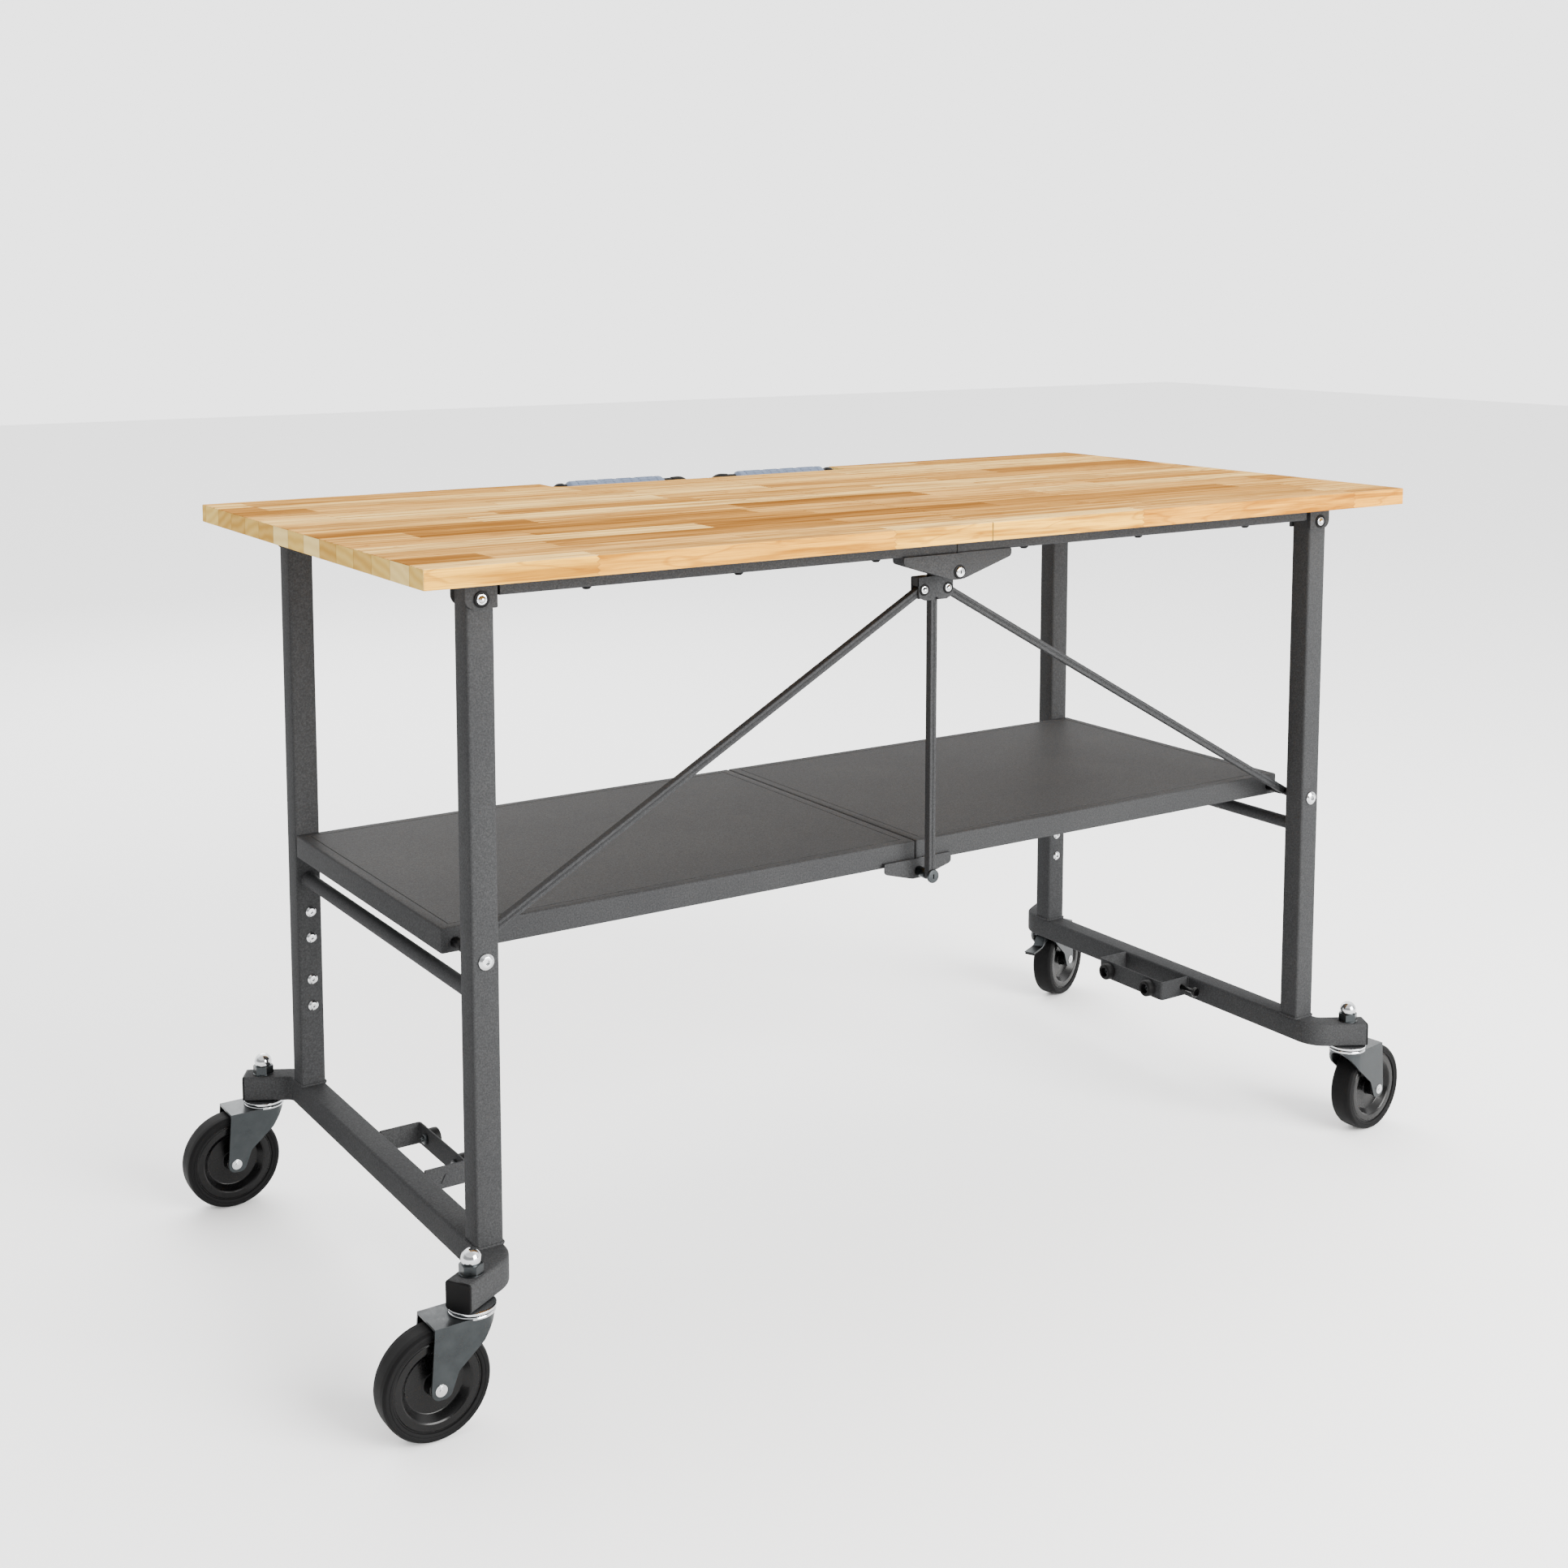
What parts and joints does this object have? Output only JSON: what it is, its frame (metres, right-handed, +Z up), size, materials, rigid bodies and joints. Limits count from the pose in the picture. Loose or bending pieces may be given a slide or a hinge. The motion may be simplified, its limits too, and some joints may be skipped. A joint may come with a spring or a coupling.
{
  "type": "folding work bench",
  "caption": "Mobile folding work platform: a split butcher-block top and a split shelf fold up between two tube leg frames on swivel casters, guided by a centre bar and two braces.",
  "frame": {"origin": "on the floor, under the middle of the bench's outline seen from above", "axes": "+X along the bench towards the half with the latch pin, -Y towards the side with the centre bar and braces, +Z up"},
  "size_m": [1.4147, 0.6622, 0.839],
  "materials": {
    "powder_grey": "fine textured grey powder coat",
    "butcher_block": "oiled finger-jointed butcher block",
    "zinc": "bright zinc plate",
    "chrome": "polished nickel plate",
    "black_plastic": "glossy black moulding",
    "black_rod": "black coated rod",
    "tyre_rubber": "dark grey rubber",
    "grip_rubber": "matte blue-grey rubber sleeve",
    "bumper_rubber": "matte black rubber"
  },
  "bodies": {
    "left_frame": {"left_base_rail": "powder_grey", "left_cross_bar": "powder_grey", "left_latch_bracket": "powder_grey", "left_front_leg": "powder_grey", "left_rear_leg": "powder_grey", "left_front_bumper": "bumper_rubber", "left_rear_bumper": "bumper_rubber", "left_front_shelf_pivot_bolt": "zinc", "left_rear_shelf_pivot_bolt": "zinc", "left_front_caster_stem": "chrome", "left_rear_caster_stem": "chrome"},
    "left_top": {"left_board": "butcher_block", "left_handle_bow": "black_rod", "left_handle_grip": "grip_rubber", "left_front_rail": "powder_grey", "left_rear_rail": "powder_grey", "left_front_top_pivot_bolt": "zinc", "left_rear_top_pivot_bolt": "zinc", "front_top_hinge_pin": "zinc", "rear_top_hinge_pin": "zinc"},
    "right_top": {"right_board": "butcher_block", "right_handle_bow": "black_rod", "right_handle_grip": "grip_rubber", "right_front_rail": "powder_grey", "right_rear_rail": "powder_grey", "right_front_top_pivot_bolt": "zinc", "right_rear_top_pivot_bolt": "zinc"},
    "right_frame": {"right_base_rail": "powder_grey", "right_cross_bar": "powder_grey", "right_latch_bracket": "powder_grey", "right_front_leg": "powder_grey", "right_rear_leg": "powder_grey", "right_front_bumper": "bumper_rubber", "right_rear_bumper": "bumper_rubber", "right_front_shelf_pivot_bolt": "zinc", "right_rear_shelf_pivot_bolt": "zinc", "right_front_caster_stem": "chrome", "right_rear_caster_stem": "chrome"},
    "left_shelf": {"left_shelf": "powder_grey", "front_shelf_hinge_pin": "zinc", "rear_shelf_hinge_pin": "zinc"},
    "right_shelf": {"right_shelf": "powder_grey"},
    "centre_bar": {"centre_bar": "powder_grey"},
    "runner": {"runner": "powder_grey"},
    "left_brace": {"left_brace": "powder_grey"},
    "right_brace": {"right_brace": "powder_grey"},
    "latch_pin": {"latch_pin": "black_plastic"},
    "brake_pedal": {"brake_pedal": "zinc"},
    "left_front_fork": {"left_front_fork": "zinc"},
    "left_front_wheel": {"left_front_tyre": "tyre_rubber", "left_front_wheel_core": "black_plastic"},
    "left_rear_fork": {"left_rear_fork": "zinc"},
    "left_rear_wheel": {"left_rear_tyre": "tyre_rubber", "left_rear_wheel_core": "black_plastic"},
    "right_front_fork": {"right_front_fork": "zinc"},
    "right_front_wheel": {"right_front_tyre": "tyre_rubber", "right_front_wheel_core": "black_plastic"},
    "right_rear_fork": {"right_rear_fork": "zinc"},
    "right_rear_wheel": {"right_rear_tyre": "tyre_rubber", "right_rear_wheel_core": "black_plastic"}
  },
  "joints": [
    {"name": "bench_fold", "type": "hinge", "parent": "left_frame", "child": "left_top", "pos_m": [-0.57166, -0.01239, 0.793], "axis": [0, -1, 0], "range_deg": [0, 84]},
    {"name": "top_centre_hinge", "type": "hinge", "parent": "left_top", "child": "right_top", "pos_m": [-0.00015, -0.01239, 0.7745], "axis": [0, -1, 0], "range_deg": [-168.01, 0]},
    {"name": "right_top_pivot", "type": "hinge", "parent": "right_top", "child": "right_frame", "pos_m": [0.57134, -0.01239, 0.793], "axis": [0, -1, 0], "range_deg": [0, 84.01]},
    {"name": "left_shelf_pivot", "type": "hinge", "parent": "left_frame", "child": "left_shelf", "pos_m": [-0.57166, -0.01239, 0.439], "axis": [0, -1, 0], "range_deg": [0, 84.01]},
    {"name": "shelf_centre_hinge", "type": "hinge", "parent": "left_shelf", "child": "right_shelf", "pos_m": [-0.00015, -0.01239, 0.4205], "axis": [0, -1, 0], "range_deg": [-168.01, 0]},
    {"name": "centre_bar_pivot", "type": "hinge", "parent": "left_shelf", "child": "centre_bar", "pos_m": [-0.00015, -0.22409, 0.4205], "axis": [0, -1, 0], "range_deg": [-84.01, 0]},
    {"name": "runner_slide", "type": "slide", "parent": "centre_bar", "child": "runner", "axis": [0, 0, 1], "range_m": [-0.26308, 0]},
    {"name": "left_brace_pivot", "type": "hinge", "parent": "left_frame", "child": "left_brace", "pos_m": [-0.57166, -0.22409, 0.439], "axis": [0, -1, 0], "range_deg": [0, 55.16]},
    {"name": "right_brace_pivot", "type": "hinge", "parent": "right_frame", "child": "right_brace", "pos_m": [0.57134, -0.22409, 0.439], "axis": [0, -1, 0], "range_deg": [-55.16, 0]},
    {"name": "left_front_caster_swivel", "type": "hinge", "parent": "left_frame", "child": "left_front_fork", "pos_m": [-0.60976, -0.30739, 0.1165], "axis": [0, 0, 1], "continuous": true},
    {"name": "left_front_wheel_roll", "type": "hinge", "parent": "left_front_fork", "child": "left_front_wheel", "pos_m": [-0.65175, -0.30739, 0.0555], "axis": [0, -1, 0], "continuous": true},
    {"name": "left_rear_caster_swivel", "type": "hinge", "parent": "left_frame", "child": "left_rear_fork", "pos_m": [-0.60976, 0.28261, 0.1165], "axis": [0, 0, 1], "continuous": true},
    {"name": "left_rear_wheel_roll", "type": "hinge", "parent": "left_rear_fork", "child": "left_rear_wheel", "pos_m": [-0.65175, 0.28261, 0.0555], "axis": [0, -1, 0], "continuous": true},
    {"name": "right_front_caster_swivel", "type": "hinge", "parent": "right_frame", "child": "right_front_fork", "pos_m": [0.60945, -0.30739, 0.1165], "axis": [0, 0, 1], "continuous": true},
    {"name": "right_front_wheel_roll", "type": "hinge", "parent": "right_front_fork", "child": "right_front_wheel", "pos_m": [0.65113, -0.30227, 0.0555], "axis": [-0.1219, 0.9925, 0], "continuous": true},
    {"name": "right_rear_caster_swivel", "type": "hinge", "parent": "right_frame", "child": "right_rear_fork", "pos_m": [0.60945, 0.28261, 0.1165], "axis": [0, 0, 1], "continuous": true},
    {"name": "right_rear_wheel_roll", "type": "hinge", "parent": "right_rear_fork", "child": "right_rear_wheel", "pos_m": [0.64839, 0.29835, 0.0555], "axis": [-0.3746, 0.9272, 0], "continuous": true},
    {"name": "brake_pedal_press", "type": "hinge", "parent": "right_rear_fork", "child": "brake_pedal", "pos_m": [0.60388, 0.28036, 0.1025], "axis": [0.3746, -0.9272, 0], "range_deg": [0, 12], "stiffness_Nm_per_rad": 0.6, "springref_deg": -6.88},
    {"name": "latch_pin_pull", "type": "slide", "parent": "right_frame", "child": "latch_pin", "axis": [0, -1, 0], "range_m": [0, 0.012], "stiffness_N_per_m": 300, "springref_m": -0.004}
  ],
  "couplings": [
    {"joint": "top_centre_hinge", "follows": "bench_fold", "ratio": -2},
    {"joint": "right_top_pivot", "follows": "bench_fold", "ratio": 1},
    {"joint": "left_shelf_pivot", "follows": "bench_fold", "ratio": 1},
    {"joint": "shelf_centre_hinge", "follows": "bench_fold", "ratio": -2},
    {"joint": "centre_bar_pivot", "follows": "bench_fold", "ratio": -1},
    {"joint": "runner_slide", "follows": "bench_fold", "m_per_rad": -0.17931},
    {"joint": "left_brace_pivot", "follows": "bench_fold", "ratio": 0.65659},
    {"joint": "right_brace_pivot", "follows": "bench_fold", "ratio": -0.65659}
  ]
}
